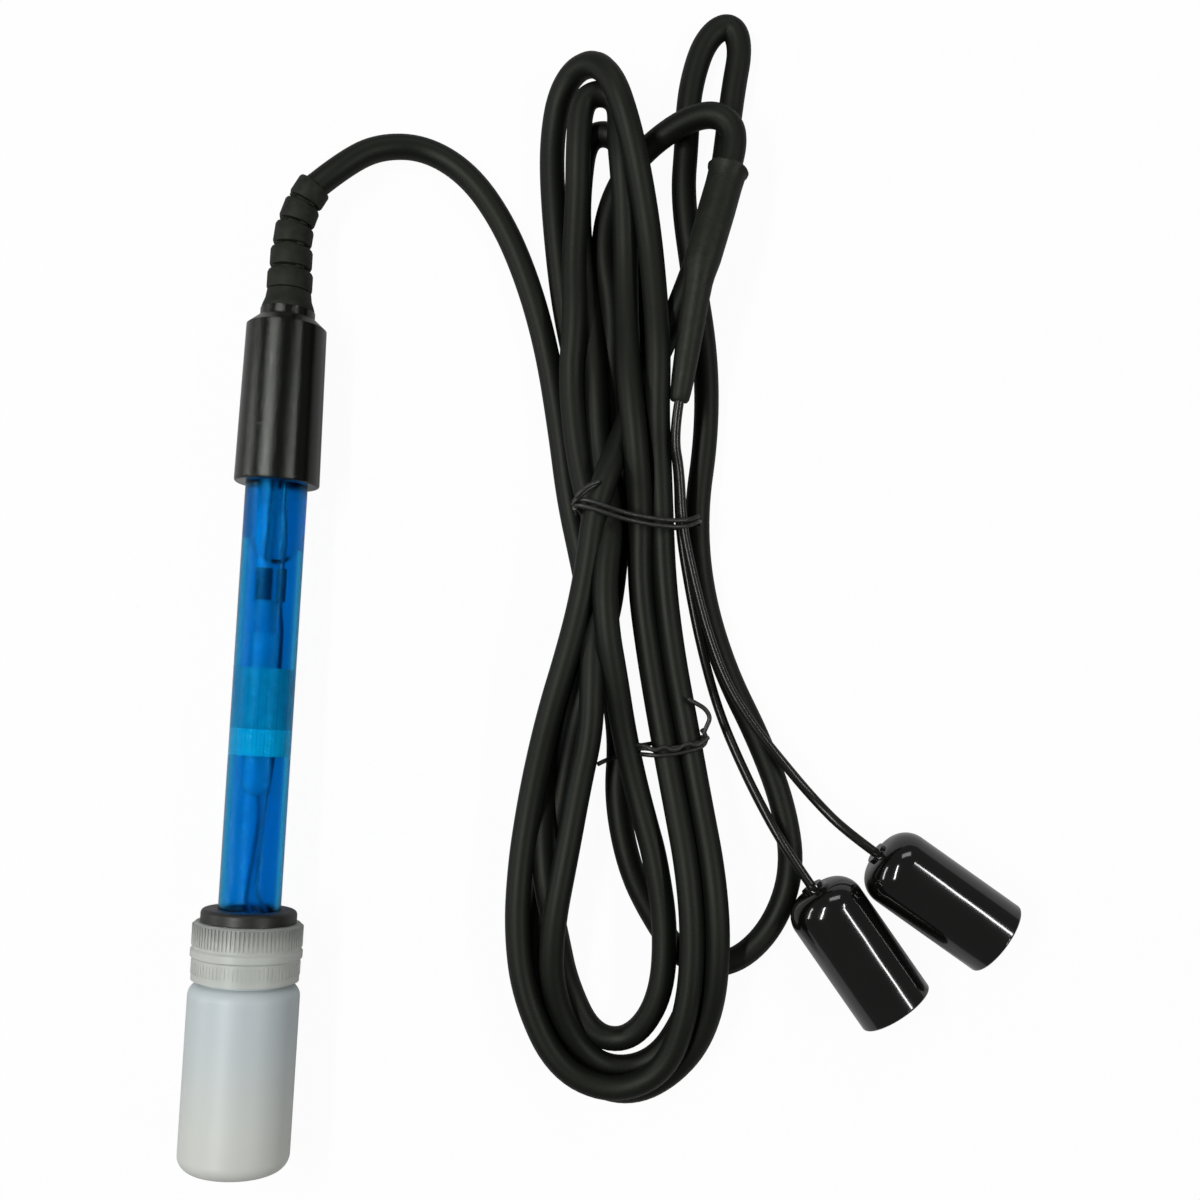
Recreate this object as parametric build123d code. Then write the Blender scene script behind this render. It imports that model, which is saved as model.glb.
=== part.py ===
# A combination pH electrode lying on its side beside its cable.
# The blue shaft is capped by a black head at one end. Its tip stands in a storage bottle at the other,
# which screws to a cap that slides along the shaft on a rubber grommet. The cable leaves the head
# through a ribbed strain relief, is folded into a hank held by two wire ties, and splits at a
# shrink-sleeved splice into two thin leads, each with a connector under a black boot.
#
# Millimetres, +Z up, floor at Z 0. The shaft runs along Y, with its head towards +Y. The origin is on
# the floor, under the middle of the electrode and its bottle.
#
# The electrode is first built upright: height 0 is the open end of the shaft and the head is above it.
import os
from math import atan, cos, degrees, pi, radians, sin, tan

from build123d import *

os.makedirs("parts", exist_ok=True)

# Angles and shared small sizes
FULL_TURN = 360
RIGHT_ANGLE = 90
seat_gap = 0.1            # between pieces of different bodies that seat on each other
running_clearance = 0.05  # radial, between the shaft and its grommet
turning_clearance = 0.3   # radial, between the bottle's cap and what turns inside it
overrun = 1.0             # how far a cutting tool runs past a face

# Shaft
shaft_diameter = 12.0
shaft_wall = 1.0
shaft_length = 120.0      # from the open end to the head
shaft_seat = 13.0         # length held inside the head
guard_slot_width = 3.4
guard_slot_length = 7.5
guard_slot_count = 4

# Head cap
head_length = 32.8
head_low_diameter = 16.5
head_high_diameter = 15.5
head_bevel_height = 1.8
head_bevel_depth = 2.1
head_edge_round = 0.5
head_wall = 1.8
head_roof = 2.4
collar_diameter = 10.6
collar_height = 1.6

# Strain relief
relief_flange_diameter = 10.0
relief_flange_height = 1.6
relief_neck_diameter = 7.6
relief_skirt_diameter = 10.0
relief_skirt_height = 3.9
relief_rib_count = 5
relief_low_diameter = 9.0
relief_high_diameter = 6.9
relief_rib_pitch = 4.6
relief_groove_width = 0.9
relief_groove_depth = 0.75
relief_rib_round = 0.35
relief_bend_radius = 13.0
relief_bend_angle = 48.0
relief_straight = 16.0    # from the collar to where the bend starts

# Cable and leads
cable_diameter = 5.0
cable_tail_inside = 22.0  # jacket that reaches down into the head
lead_diameter = 1.9

# Wires and seals inside the shaft; every sideways place is measured from the shaft's axis
potting_dome_height = 9.0
potting_depth = 15.8      # from the head's lower edge down to the lowest point of the dome
potting_dome_lean = 9.0
splice_depth = 23.0       # from the head's lower edge down to the foot of the splices
splice_length = 6.4
measuring_splice_diameter = 3.3
measuring_splice_side = -1.3
sensor_splice_diameter = 1.9
sensor_splice_side = 2.1
core_lead_diameter = 1.9
core_lead_side = -1.9
thin_lead_diameter = 0.9
shield_lead_side = -0.4
sensor_lead_side = 0.95
lead_gather = 0.3         # how far the leads draw in towards the cable
wire_diameter = 0.8
wire_back = 3.7           # how far the wires pass behind the reference cartridge
measuring_wire_low_side = -0.9
sensor_wire_low_side = 1.0
collar_piece_diameter = 4.2
collar_piece_length = 6.4
cartridge_diameter = 5.4
cartridge_wall = 0.6
cartridge_length = 32.0
cartridge_side = -0.35
reference_wire_diameter = 1.3
reference_wire_tip_diameter = 0.5
reference_wire_stand = 2.4    # of the silver wire's tip over the cartridge's round end
seal_plug_length = 11.9
foam_plug_length = 5.2
plug_stack_stand = 8.0        # of the plugs over the cartridge's round end

# Measuring glass at the tip
bulb_diameter = 7.4
bulb_low = 1.2
glass_wall = 0.5
stem_diameter = 5.2
stem_top = 34.0
stem_cap_height = 1.8
end_plug_low = 9.5
end_plug_height = 6.0
junction_diameter = 1.4
junction_side = -3.8
junction_stand = 0.6
sensor_bead_diameter = 1.9
sensor_bead_length = 4.5
sensor_bead_side = 3.75

# Storage bottle, its screw cap and the grommet
bottle_diameter = 21.4
bottle_wall = 1.0
bottle_base = 1.2
bottle_base_height = -13.9
bottle_shoulder_height = 22.4
bottle_shoulder_round = 2.6
bottle_base_round = 3.0
neck_diameter = 17.6
mouth_diameter = 15.0
cap_skirt_height = 11.2
cap_skirt_gap = 0.5       # between the bottle's shoulder and the cap's skirt
cap_diameter = 20.6
cap_roof = 1.4
cap_rib_count = 80
cap_rib_width = 0.4
cap_rib_depth = 0.3
cap_rib_height = 3.9
cap_bead_height = 2.1
cap_bead_depth = 0.4
cap_low_rib_height = 2.4
cap_low_rib_depth = 0.12
cap_band_step = 0.5
grommet_diameter = 18.4
grommet_head_height = 2.4
grommet_head_round = 0.9
grommet_neck_diameter = 14.4
grommet_foot_height = 0.9
washer_height = 0.9
washer_clearance = 0.3

# Splice, boots and connectors
splice_sleeve_diameter = 7.2
splice_lip_diameter = 8.0
splice_lip_length = 1.2
splice_taper_diameter = 5.1
splice_taper_end_diameter = 4.0
splice_taper_straight = 11.0
splice_bite = 2.0
boot_diameter = 15.5
boot_length = 29.5
boot_wall = 1.0
boot_shoulder = 6.5        # from the nose to where the connector's room starts
boot_shoulder_round = 5.0
boot_nose_diameter = 4.4
boot_nose_height = 0.7
boot_rim_round = 0.45
connector_low = 9.0
connector_recess = 1.2
connector_bore_diameter = 9.8
connector_bore_depth = 8.5
connector_tail_diameter = 4.2
insulator_diameter = 7.2
insulator_length = 6.0
pin_diameter = 1.4
pin_length = 11.0
pin_stand = 4.0
lead_in_boot = 3.0
lead_straight = 7.0

# Hank and ties
hank_height = 15.0
tie_width = 2.4
tie_thickness = 0.9
tie_tail_length = 8.0
tie_tail_width = 2.0

# The cable's places, as they lie on the floor. Each list is one stretch. They are measured from a
# point beside the shaft, and the middle of the electrode and its bottle is this far beyond that
# point, towards the head. At the end everything moves back by it, to bring the middle to the origin.
head_way_shift = 1.2
cable_lead_route = [
    (15.2, 107.4, 4.6),
    (24.0, 108.4, 2.6),
    (33.2, 103.4, 2.6),
    (40.8, 94.0, 2.6),
    (46.8, 82.0, 2.6),
    (51.4, 68.0, 2.6),
    (54.4, 52.0, 2.6),
    (56.0, 37.5, 2.6),
    (57.6, 25.0, 4.8),
    (61.2, 12.0, 7.8),
]
cable_loop_route = [
    (79.0, -44.0, 2.6),
    (86.0, -53.0, 2.6),
    (95.6, -53.4, 2.6),
    (103.4, -45.6, 2.6),
    (107.0, -33.4, 2.6),
    (104.8, -20.4, 2.6),
    (99.4, -7.4, 2.6),
    (91.6, 6.0, 2.6),
    (86.8, 21.4, 2.6),
    (84.8, 37.0, 2.6),
    (85.4, 53.0, 2.6),
    (83.8, 69.0, 2.6),
    (80.2, 86.0, 2.6),
    (76.8, 101.0, 2.6),
    (76.6, 117.0, 2.6),
    (79.2, 134.4, 2.6),
    (88.2, 134.2, 2.6),
    (87.2, 118.0, 2.6),
    (85.0, 105.0, 4.0),
    (82.4, 95.0, 7.0),
    (79.4, 84.0, 8.0),
    (75.4, 72.0, 7.7),
    (70.4, 60.0, 7.6),
]
cable_tail_route = [
    (62.0, 91.0, 2.6),
    (63.6, 103.6, 2.6),
    (70.0, 110.8, 4.8),
    (76.6, 114.2, 9.6),
    (83.4, 113.4, 12.0),
]
splice_top = (85.0, 103.4, 12.8)
splice_waist = (80.6, 83.4, 14.4)
splice_foot = (78.0, 57.2, 12.4)
lead_routes = {
    "a": [
        (78.9, 44.5, 8.6),
        (79.8, 34.0, 6.4),
        (82.4, 22.5, 5.0),
        (85.6, 10.5, 4.2),
        (90.2, -2.6, 1.6),
        (96.0, -14.4, 3.4),
        (100.9, -23.2, 6.9),
    ],
    "b": [
        (79.0, 44.5, 11.0),
        (80.2, 34.0, 9.0),
        (83.2, 23.5, 8.0),
        (86.6, 13.4, 6.8),
        (90.9, 3.4, 6.8),
        (96.6, -4.6, 6.8),
        (103.0, -11.6, 6.6),
        (109.8, -18.6, 4.8),
    ],
}
boot_noses = {"a": (109.9, -35.6), "b": (122.1, -28.3)}
boot_headings = {"a": (0.618, -0.786), "b": (0.848, -0.530)}

# The hank's outline, and where each tie's inside starts and ends across the hank
hank_outline = [
    (48.2, 99.0),
    (48.4, 114.0),
    (53.4, 126.6),
    (60.6, 127.4),
    (68.4, 113.0),
    (73.2, 93.0),
    (75.7, 64.0),
    (77.4, 36.0),
    (83.2, 4.0),
    (91.8, -31.4),
    (94.4, -53.0),
    (90.4, -73.0),
    (77.0, -81.2),
    (60.0, -74.6),
    (50.2, -54.0),
    (48.6, -34.0),
    (52.2, -6.0),
    (60.2, 22.0),
    (61.0, 38.0),
    (57.8, 52.0),
    (52.2, 75.0),
]
tie_sides = {"upper": (59.8, 82.0), "lower": (66.0, 86.6)}
tie_places = {"upper": 35.0, "lower": -10.0}
tie_leans = {"upper": -4.0, "lower": 9.0}


# Radii and heights that follow from the sizes above
shaft_radius = shaft_diameter / 2
bore_radius = shaft_radius - shaft_wall
head_top = shaft_length + head_length
collar_top = head_top + collar_height
relief_start = collar_top
potting_dome_low = shaft_length - potting_depth
splice_low = shaft_length - splice_depth
splice_high = splice_low + splice_length
cartridge_high = splice_low - collar_piece_length
cartridge_low = cartridge_high - cartridge_length
reference_wire_low = cartridge_low + reference_wire_stand
plug_stack_low = cartridge_low + plug_stack_stand
plug_stack_mid = plug_stack_low + foam_plug_length
plug_stack_high = plug_stack_mid + seal_plug_length
cap_skirt_low = bottle_shoulder_height + cap_skirt_gap
cap_top = cap_skirt_low + cap_skirt_height
cap_inner_radius = neck_diameter / 2 + turning_clearance
washer_low = cap_top - cap_roof - seat_gap - grommet_foot_height - washer_height
mouth_height = washer_low - seat_gap


def turned(points):
    """A solid turned about the upright axis from its (radius, height) outline."""
    outline = Polyline(*[(radius, 0, height) for radius, height in points], close=True)
    return revolve(make_face(outline), Axis.Z, FULL_TURN)


def rod(radius, low, high, side=0, back=0):
    """An upright cylinder between two heights."""
    return Pos(side, back, low) * extrude(Circle(radius), high - low)


def tube(outer, inner, low, high):
    """An upright tube between two heights."""
    return rod(outer, low, high) - rod(inner, low - overrun, high + overrun)


def rim_at(part, height, radius):
    """The round edges of a turned part at one height and radius."""
    rims = part.edges().filter_by(GeomType.CIRCLE)
    return [e for e in rims if abs(e.center().Z - height) < seat_gap and abs(e.radius - radius) < seat_gap]


def wire(points, diameter):
    """A round wire along straight runs with rounded corners."""
    path = FilletPolyline(*points, radius=corner_radii(points))
    start = Plane(origin=points[0], z_dir=Vector(*points[1]) - Vector(*points[0]))
    return sweep(start * Circle(diameter / 2), path=path)


def corner_radii(points):
    """The largest arcs that fit a route: 0.45 of the shorter run over the tangent of half the turn."""
    run_share = 0.45
    spots = [Vector(*p) for p in points]
    radii = []
    for before, corner, after in zip(spots, spots[1:], spots[2:]):
        turn = (corner - before).get_angle(after - corner)
        shorter = min((corner - before).length, (after - corner).length)
        radii.append(run_share * shorter / tan(radians(turn / 2)))
    return radii


def cord(name, points, diameter):
    """A free cord's plain tube, with its length and tightest bend printed and its volume compared."""
    path = FilletPolyline(*points, radius=corner_radii(points))
    start = Plane(origin=points[0], z_dir=Vector(*points[1]) - Vector(*points[0]))
    solid = sweep(start * Circle(diameter / 2), path=path)
    expected = pi * (diameter / 2) ** 2 * path.length
    tightest = min(corner_radii(points))
    print(f"{name}: length {path.length:.1f}, radii {[round(r, 1) for r in corner_radii(points)]}, "
          f"tightest {tightest:.1f}, volume ratio {solid.volume / expected:.4f}")
    return solid


# Shaft: a blue tube with four slots at its open end that guard the bulb
def make_body_tube():
    shell = tube(shaft_radius, bore_radius, 0, shaft_length + shaft_seat)
    slot = Box(shaft_diameter + overrun, guard_slot_width, 2 * guard_slot_length)
    for turn in range(guard_slot_count // 2):
        shell -= Rot(0, 0, turn * FULL_TURN / guard_slot_count) * slot
    return shell


# Head: a moulded cap over the top of the shaft, with a bevelled crown and a collar
def make_head_cap():
    low_radius = head_low_diameter / 2
    high_radius = head_high_diameter / 2
    bevel_low = head_top - head_bevel_height
    seat_top = shaft_length + shaft_seat
    chamber_radius = high_radius - head_wall
    cap = turned([
        (shaft_radius, shaft_length),
        (low_radius, shaft_length),
        (high_radius, bevel_low),
        (high_radius - head_bevel_depth, head_top),
        (collar_diameter / 2, head_top),
        (collar_diameter / 2, collar_top),
        (relief_neck_diameter / 2, collar_top),
        (relief_neck_diameter / 2, head_top - head_roof),
        (chamber_radius, head_top - head_roof),
        (chamber_radius, seat_top),
        (shaft_radius, seat_top),
    ])
    return fillet(rim_at(cap, shaft_length, low_radius), head_edge_round)


def along_relief(part, station):
    """Moves a part built at height 0 to a station along the strain relief's centre line."""
    bend_start = relief_start + relief_straight
    if station <= relief_straight:
        return Pos(0, 0, relief_start + station) * part
    turn = degrees((station - relief_straight) / relief_bend_radius)
    return Pos(relief_bend_radius, 0, bend_start) * Rot(0, turn, 0) * Pos(-relief_bend_radius, 0, 0) * part


def bent_bar(radius, first, last):
    """A round bar along the strain relief's centre line between two stations."""
    bar = None
    if relief_straight - first > seat_gap:
        bar = rod(radius, relief_start + first, relief_start + min(last, relief_straight))
    if last - relief_straight > seat_gap:
        begin = max(first, relief_straight)
        angle = degrees((last - begin) / relief_bend_radius)
        face = along_relief(make_face(Circle(radius).edges()), begin)
        pivot = Axis((relief_bend_radius, 0, relief_start + relief_straight), (0, 1, 0))
        bend = revolve(face, pivot, angle)
        bar = bend if bar is None else bar + bend
    return bar


relief_length = relief_straight + relief_bend_radius * radians(relief_bend_angle)


# Strain relief: a ribbed rubber boot moulded round the cable, with a flange held inside the head
def make_strain_relief():
    skirt = turned([
        (0, relief_start),
        (relief_skirt_diameter / 2, relief_start),
        (relief_low_diameter / 2, relief_start + relief_skirt_height),
        (0, relief_start + relief_skirt_height),
    ])
    flange_top = head_top - head_roof
    neck = rod(relief_neck_diameter / 2, flange_top, relief_start)
    flange = rod(relief_flange_diameter / 2, flange_top - relief_flange_height, flange_top)
    body = skirt + neck + flange
    for index in range(relief_rib_count):
        first = relief_skirt_height + index * relief_rib_pitch
        last = relief_length if index == relief_rib_count - 1 else first + relief_rib_pitch
        taper_share = index / (relief_rib_count - 1)
        width = relief_low_diameter + (relief_high_diameter - relief_low_diameter) * taper_share
        rib = bent_bar(width / 2, first, last - relief_groove_width)
        rim = [e for e in rib.edges().filter_by(GeomType.CIRCLE) if abs(e.radius - width / 2) < seat_gap]
        rib = fillet(rim, relief_rib_round)
        body += rib
        body += bent_bar(width / 2 - relief_groove_depth, first, last)
    return body - bent_bar(cable_diameter / 2, 0, relief_length) - rod(
        cable_diameter / 2, flange_top - relief_flange_height - overrun, relief_start)


# Cable end: the jacket from inside the head to the mouth of the strain relief
def make_cable_inner():
    return rod(cable_diameter / 2, relief_start - cable_tail_inside, relief_start) + bent_bar(
        cable_diameter / 2, 0, relief_length)


# Leads in the head: an insulated core, a shield drain and a sensor lead, down to two sleeved splices
def inner_lead(side, foot_side, diameter):
    top = relief_start - cable_tail_inside
    knee_share = 0.6
    knee = splice_high + (top - splice_high) * knee_share
    points = [(side, 0, top), (side, 0, knee), (foot_side, 0, splice_high + thin_lead_diameter)]
    return wire(points + [(foot_side, 0, splice_high)], diameter)


def make_core_lead():
    return inner_lead(core_lead_side + lead_gather, core_lead_side, core_lead_diameter)


def make_shield_lead():
    return inner_lead(shield_lead_side + lead_gather, shield_lead_side, thin_lead_diameter)


def make_sensor_lead():
    return inner_lead(sensor_lead_side, sensor_splice_side, thin_lead_diameter)


def make_measuring_splice():
    return rod(measuring_splice_diameter / 2, splice_low, splice_high, measuring_splice_side)


def make_sensor_splice():
    return rod(sensor_splice_diameter / 2, splice_low, splice_high, sensor_splice_side)


# Wires: from the splices, behind the reference cartridge, to the glass stem and the sensor bead
def wire_start(side):
    """A wire's first points: down out of its splice and back, clear of the cartridge."""
    return [
        (side, 0, splice_low),
        (side, 0, splice_low - wire_diameter),
        (side, wire_back, cartridge_high + wire_diameter),
        (side, wire_back, cartridge_high - wire_back),
    ]


def make_measuring_wire():
    stem_seat = stem_top + stem_cap_height
    tip = bulb_low + bulb_diameter / 2
    return wire(wire_start(measuring_splice_side) + [
        (measuring_splice_side / 2, wire_back, cartridge_low),
        (lead_gather, wire_back / 2, cartridge_low - wire_back),
        (measuring_wire_low_side, 0, stem_seat + 3 * wire_diameter),
        (0, 0, stem_seat + wire_diameter),
        (0, -running_clearance, tip),
    ], wire_diameter)


def make_sensor_wire():
    bead_top = end_plug_low + sensor_bead_length
    return wire(wire_start(sensor_splice_side) + [
        (sensor_splice_side, wire_back - running_clearance, plug_stack_low),
        (sensor_splice_side / 2, wire_back / 2, cartridge_low - wire_back),
        (sensor_wire_low_side, 0, stem_top + stem_cap_height + wire_back),
        (sensor_bead_side, 0, stem_top + stem_cap_height),
        (sensor_bead_side, running_clearance, bead_top),
    ], wire_diameter)


# Reference cartridge: a small glass tube with a rounded end, its silver wire and a collar on top
def make_reference_cartridge():
    outer = cartridge_diameter / 2
    inner = outer - cartridge_wall
    middle = cartridge_low + outer
    shell = rod(outer, middle, cartridge_high) + Pos(0, 0, middle) * Sphere(outer)
    hollow = rod(inner, middle, cartridge_high + overrun) + Pos(0, 0, middle) * Sphere(inner)
    return Pos(cartridge_side, 0, 0) * (shell - hollow)


def make_reference_wire():
    body = turned([
        (0, reference_wire_low),
        (reference_wire_tip_diameter / 2, reference_wire_low),
        (reference_wire_diameter / 2, plug_stack_mid),
        (reference_wire_diameter / 2, cartridge_high),
        (0, cartridge_high),
    ])
    return Pos(cartridge_side, 0, 0) * body


def make_cartridge_collar(pierced):
    collar = rod(collar_piece_diameter / 2, cartridge_high, splice_low, cartridge_side)
    for piece in pierced:
        collar -= piece
    return collar


# Plugs across the bore: a dark seal over a pale foam disc, pierced by the cartridge and the wires
def make_plug(low, high, pierced):
    plug = rod(bore_radius, low, high)
    plug -= rod(cartridge_diameter / 2, low - overrun, high + overrun, cartridge_side)
    for piece in pierced:
        plug -= piece
    return plug


# Potting: clear resin that fills the top of the shaft, with a domed face hanging into the bore
def make_potting(pierced):
    dome = scale(Sphere(1), by=(shaft_radius, shaft_radius, potting_dome_height))
    dome = Pos(0, 0, potting_dome_low + potting_dome_height) * Rot(0, -potting_dome_lean, 0) * dome
    fill_low = potting_dome_low + potting_dome_height
    resin = dome + rod(shaft_radius, fill_low, shaft_length + shaft_seat)
    resin = resin & rod(bore_radius, potting_dome_low - overrun, shaft_length + shaft_seat)
    for piece in pierced:
        resin -= piece
    return resin


# Measuring glass: a blown bulb on a thin stem, closed on top by a cap that the wire passes
def make_measuring_glass():
    bulb = bulb_diameter / 2
    stem = stem_diameter / 2
    middle = bulb_low + bulb
    outside = Pos(0, 0, middle) * Sphere(bulb) + rod(stem, middle, stem_top)
    inside = Pos(0, 0, middle) * Sphere(bulb - glass_wall) + rod(stem - glass_wall, middle, stem_top + overrun)
    return outside - inside


def make_stem_cap(pierced):
    return rod(stem_diameter / 2, stem_top, stem_top + stem_cap_height) - pierced


# End plug: closes the shaft round the glass stem and carries the junction and the sensor bead
def make_end_plug(bead):
    plug = tube(bore_radius, stem_diameter / 2, end_plug_low, end_plug_low + end_plug_height)
    plug -= rod(junction_diameter / 2, end_plug_low - overrun, end_plug_low + end_plug_height + overrun,
                junction_side)
    above = rod(sensor_bead_diameter / 2, end_plug_low, end_plug_low + end_plug_height + overrun,
                sensor_bead_side)
    return plug - above - bead


def make_junction():
    return rod(junction_diameter / 2, end_plug_low - junction_stand, end_plug_low + end_plug_height
               + junction_stand, junction_side)


def make_sensor_bead():
    bead = rod(sensor_bead_diameter / 2, end_plug_low, end_plug_low + sensor_bead_length, sensor_bead_side)
    rim = bead.edges().filter_by(GeomType.CIRCLE).sort_by(Axis.Z)[0]
    return fillet([rim], sensor_bead_diameter / 4)


# Grommet: one rubber ring that grips the shaft, with a neck through the cap and a foot under its roof
def make_grommet():
    bore = shaft_radius + running_clearance
    head_low = cap_top + seat_gap
    foot_top = cap_top - cap_roof - seat_gap
    head = grommet_diameter / 2
    neck = grommet_neck_diameter / 2
    foot = cap_inner_radius - washer_clearance
    ring = turned([
        (bore, foot_top - grommet_foot_height),
        (foot, foot_top - grommet_foot_height),
        (foot, foot_top),
        (neck, foot_top),
        (neck, head_low),
        (head, head_low),
        (head, head_low + grommet_head_height),
        (bore, head_low + grommet_head_height),
    ])
    return fillet(rim_at(ring, head_low + grommet_head_height, head), grommet_head_round)


def make_seal_washer():
    outer = cap_inner_radius - washer_clearance
    return tube(outer, shaft_radius + washer_clearance, washer_low, washer_low + washer_height)


# Bottle cap: a translucent screw cap with two bands of fine upright ribs and a smooth bead between
def ribbed_ring(depth, low, high):
    outer = cap_diameter / 2
    ribs = Circle(outer) + PolarLocations(outer, cap_rib_count) * Rectangle(2 * depth, cap_rib_width)
    ribs -= Circle(cap_inner_radius)
    return Pos(0, 0, low) * extrude(ribs, high - low)


def make_bottle_cap():
    outer = cap_diameter / 2
    cap = turned([
        (cap_inner_radius, cap_skirt_low),
        (outer, cap_skirt_low),
        (outer, cap_top - cap_rib_depth),
        (outer - cap_rib_depth, cap_top),
        (grommet_neck_diameter / 2 + turning_clearance, cap_top),
        (grommet_neck_diameter / 2 + turning_clearance, cap_top - cap_roof),
        (cap_inner_radius, cap_top - cap_roof),
    ])
    high_ribs_top = cap_top - cap_band_step
    high_ribs_low = high_ribs_top - cap_rib_height
    bead_high = high_ribs_low - cap_band_step
    bead_low = bead_high - cap_bead_height
    low_ribs_top = bead_low - cap_band_step
    cap += ribbed_ring(cap_rib_depth, high_ribs_low, high_ribs_top)
    cap += turned([
        (cap_inner_radius, bead_low),
        (outer, bead_low),
        (outer + cap_bead_depth, bead_low + cap_bead_depth),
        (outer + cap_bead_depth, bead_high - cap_bead_depth),
        (outer, bead_high),
        (cap_inner_radius, bead_high),
    ])
    cap += ribbed_ring(cap_low_rib_depth, low_ribs_top - cap_low_rib_height, low_ribs_top)
    return cap


# Storage bottle: a blown bottle with a round shoulder and a plain neck for the cap
def make_storage_bottle():
    outer = bottle_diameter / 2
    base = bottle_base_height
    shell = rod(outer, base, bottle_shoulder_height)
    shell = fillet(rim_at(shell, base, outer), bottle_base_round)
    shell = fillet(rim_at(shell, bottle_shoulder_height, outer), bottle_shoulder_round)
    hollow = rod(outer - bottle_wall, base + bottle_base, bottle_shoulder_height - bottle_wall)
    hollow = fillet(rim_at(hollow, base + bottle_base, outer - bottle_wall), bottle_base_round - bottle_wall)
    hollow = fillet(rim_at(hollow, bottle_shoulder_height - bottle_wall, outer - bottle_wall),
                    bottle_shoulder_round - bottle_wall)
    neck = rod(neck_diameter / 2, bottle_shoulder_height - bottle_wall, mouth_height)
    mouth = rod(mouth_diameter / 2, base + bottle_base + bottle_base_round, mouth_height + overrun)
    return shell + neck - hollow - mouth


# Free cords, their sleeves and the hank, in the finished frame
def frustum(start, heading, points):
    """A solid turned about a line in space from its (radius, distance along the line) outline."""
    return Plane(origin=start, x_dir=(0, 0, 1), z_dir=heading).location * turned(points)


def make_splice_sleeve(taper):
    axis = Vector(*splice_waist) - Vector(*splice_top)
    outer = splice_sleeve_diameter / 2
    lip = splice_lip_diameter / 2
    return frustum(splice_top, axis, [
        (0, 0),
        (lip, 0),
        (lip, splice_lip_length),
        (outer, 2 * splice_lip_length),
        (outer, axis.length - splice_lip_length),
        (outer - splice_lip_length, axis.length),
        (0, axis.length),
    ]) - taper


def make_splice_taper():
    axis = Vector(*splice_foot) - Vector(*splice_waist)
    wide = splice_taper_diameter / 2
    return frustum(splice_waist, axis, [
        (0, -splice_bite),
        (wide, -splice_bite),
        (wide, splice_taper_straight),
        (splice_taper_end_diameter / 2, axis.length),
        (0, axis.length),
    ])


def boot_line(side):
    """The start and the heading of one boot, which lies on the floor."""
    nose = boot_noses[side]
    return Vector(nose[0], nose[1], boot_diameter / 2), Vector(*boot_headings[side], 0).normalized()


def make_boot(side):
    start, heading = boot_line(side)
    outer = boot_diameter / 2
    shell = rod(outer, boot_nose_height, boot_length)
    shell = fillet(rim_at(shell, boot_nose_height, outer), boot_shoulder_round)
    shell = fillet(rim_at(shell, boot_length, outer), boot_rim_round)
    shell += rod(boot_nose_diameter / 2, 0, boot_shoulder)
    shell -= rod(outer - boot_wall, boot_shoulder, boot_length + overrun)
    shell -= rod(lead_diameter / 2 + running_clearance, -overrun, boot_shoulder + overrun)
    shell -= rod(connector_tail_diameter / 2, lead_in_boot, boot_shoulder + overrun)
    return Plane(origin=start, x_dir=(0, 0, 1), z_dir=heading).location * shell


# Connectors: a metal shell with a socket, an insulator and a centre pin, seated in each boot
def make_connector_shell(side):
    start, heading = boot_line(side)
    outer = boot_diameter / 2 - boot_wall
    front = boot_length - connector_recess
    return frustum(start, heading, [
        (0, lead_in_boot),
        (connector_tail_diameter / 2, lead_in_boot),
        (connector_tail_diameter / 2, connector_low),
        (outer, connector_low),
        (outer, front),
        (connector_bore_diameter / 2, front),
        (connector_bore_diameter / 2, front - connector_bore_depth),
        (pin_diameter / 2, front - connector_bore_depth),
        (pin_diameter / 2, front - connector_bore_depth - pin_stand),
        (0, front - connector_bore_depth - pin_stand),
    ])


def make_connector_insulator(side):
    start, heading = boot_line(side)
    floor = boot_length - connector_recess - connector_bore_depth
    return frustum(start, heading, [
        (pin_diameter / 2, floor),
        (insulator_diameter / 2, floor),
        (insulator_diameter / 2, floor + insulator_length),
        (pin_diameter / 2, floor + insulator_length),
    ])


def make_connector_pin(side):
    start, heading = boot_line(side)
    low = boot_length - connector_recess - connector_bore_depth - pin_stand
    return frustum(start, heading, [
        (0, low),
        (pin_diameter / 2, low),
        (pin_diameter / 2, low + pin_length),
        (pin_diameter / 4, low + pin_length + pin_diameter / 2),
        (0, low + pin_length + pin_diameter / 2),
    ])


def lead_points(side, rank):
    """One lead from the splice's foot along its route and straight into its boot."""
    start, heading = boot_line(side)
    foot = Vector(*splice_foot) + Vector(0, 0, rank * lead_diameter / 2)
    taper_heading = (Vector(*splice_foot) - Vector(*splice_waist)).normalized()
    first = [foot, foot + taper_heading * lead_straight]
    last = [start - heading * lead_straight, start + heading * lead_in_boot]
    return [tuple(p) for p in first] + lead_routes[side] + [tuple(p) for p in last]


# Wire ties: a flat two-strand band closed round the strands, with a twisted tail
def make_tie(name):
    left, right = tie_sides[name]
    low, high = tie_thickness, hank_height
    inside = make_face(Polyline((left, low), (right, low), (right, high), (left, high), close=True))
    band = offset(inside, tie_thickness, kind=Kind.ARC) - inside
    ring = extrude(Plane.XZ * band, tie_width / 2, both=True)
    side = left if name == "upper" else right
    reach = -tie_tail_length if name == "upper" else tie_tail_length
    tail = Pos(side + reach / 2, 0, high - tie_tail_width) * Box(abs(reach), tie_tail_width, tie_tail_width)
    tail -= extrude(Plane.XZ * inside, tie_width, both=True)
    pivot = Pos(side, tie_places[name], 0) * Rot(0, 0, tie_leans[name]) * Pos(-side, 0, 0)
    return pivot * (ring + tail)


def make_hank(ties):
    outline = make_face(Spline(*hank_outline, periodic=True))
    hank = extrude(outline, hank_height)
    for tie in ties:
        hank -= tie
    return hank


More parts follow.
